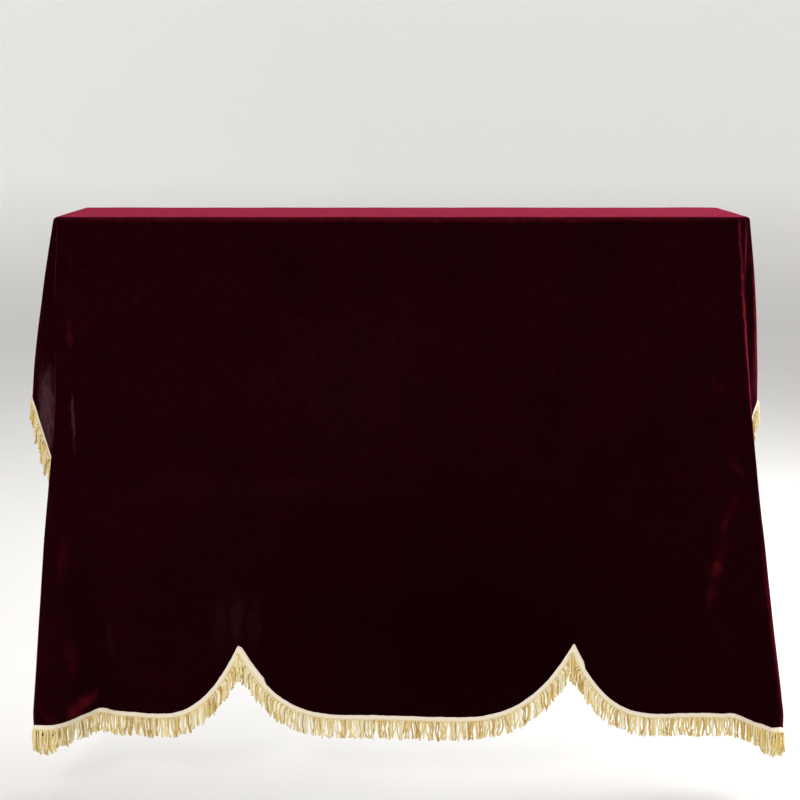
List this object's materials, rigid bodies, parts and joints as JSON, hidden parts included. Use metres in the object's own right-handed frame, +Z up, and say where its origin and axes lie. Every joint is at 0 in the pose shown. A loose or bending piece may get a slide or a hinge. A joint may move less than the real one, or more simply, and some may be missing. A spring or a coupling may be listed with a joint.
{
  "type": "piano cover",
  "caption": "Draped rectangular velvet cover for an upright keyboard instrument, with a scalloped front hem and a fringe along front and sides.",
  "frame": {"origin": "middle of the underside of the cover's flat top, where it rests on the closed lid", "axes": "+X along the width, to the right as seen from the front; +Y to the back; +Z up"},
  "size_m": [1.6678, 0.6833, 1.1719],
  "materials": {
    "velvet": "cut pile velvet, deep burgundy",
    "gold_fringe": "twisted rayon bullion fringe with a woven header, pale gold"
  },
  "bodies": {
    "root": {"cover_cloth": "velvet", "fringe_front": "gold_fringe", "fringe_left": "gold_fringe", "fringe_right": "gold_fringe"}
  },
  "joints": []
}
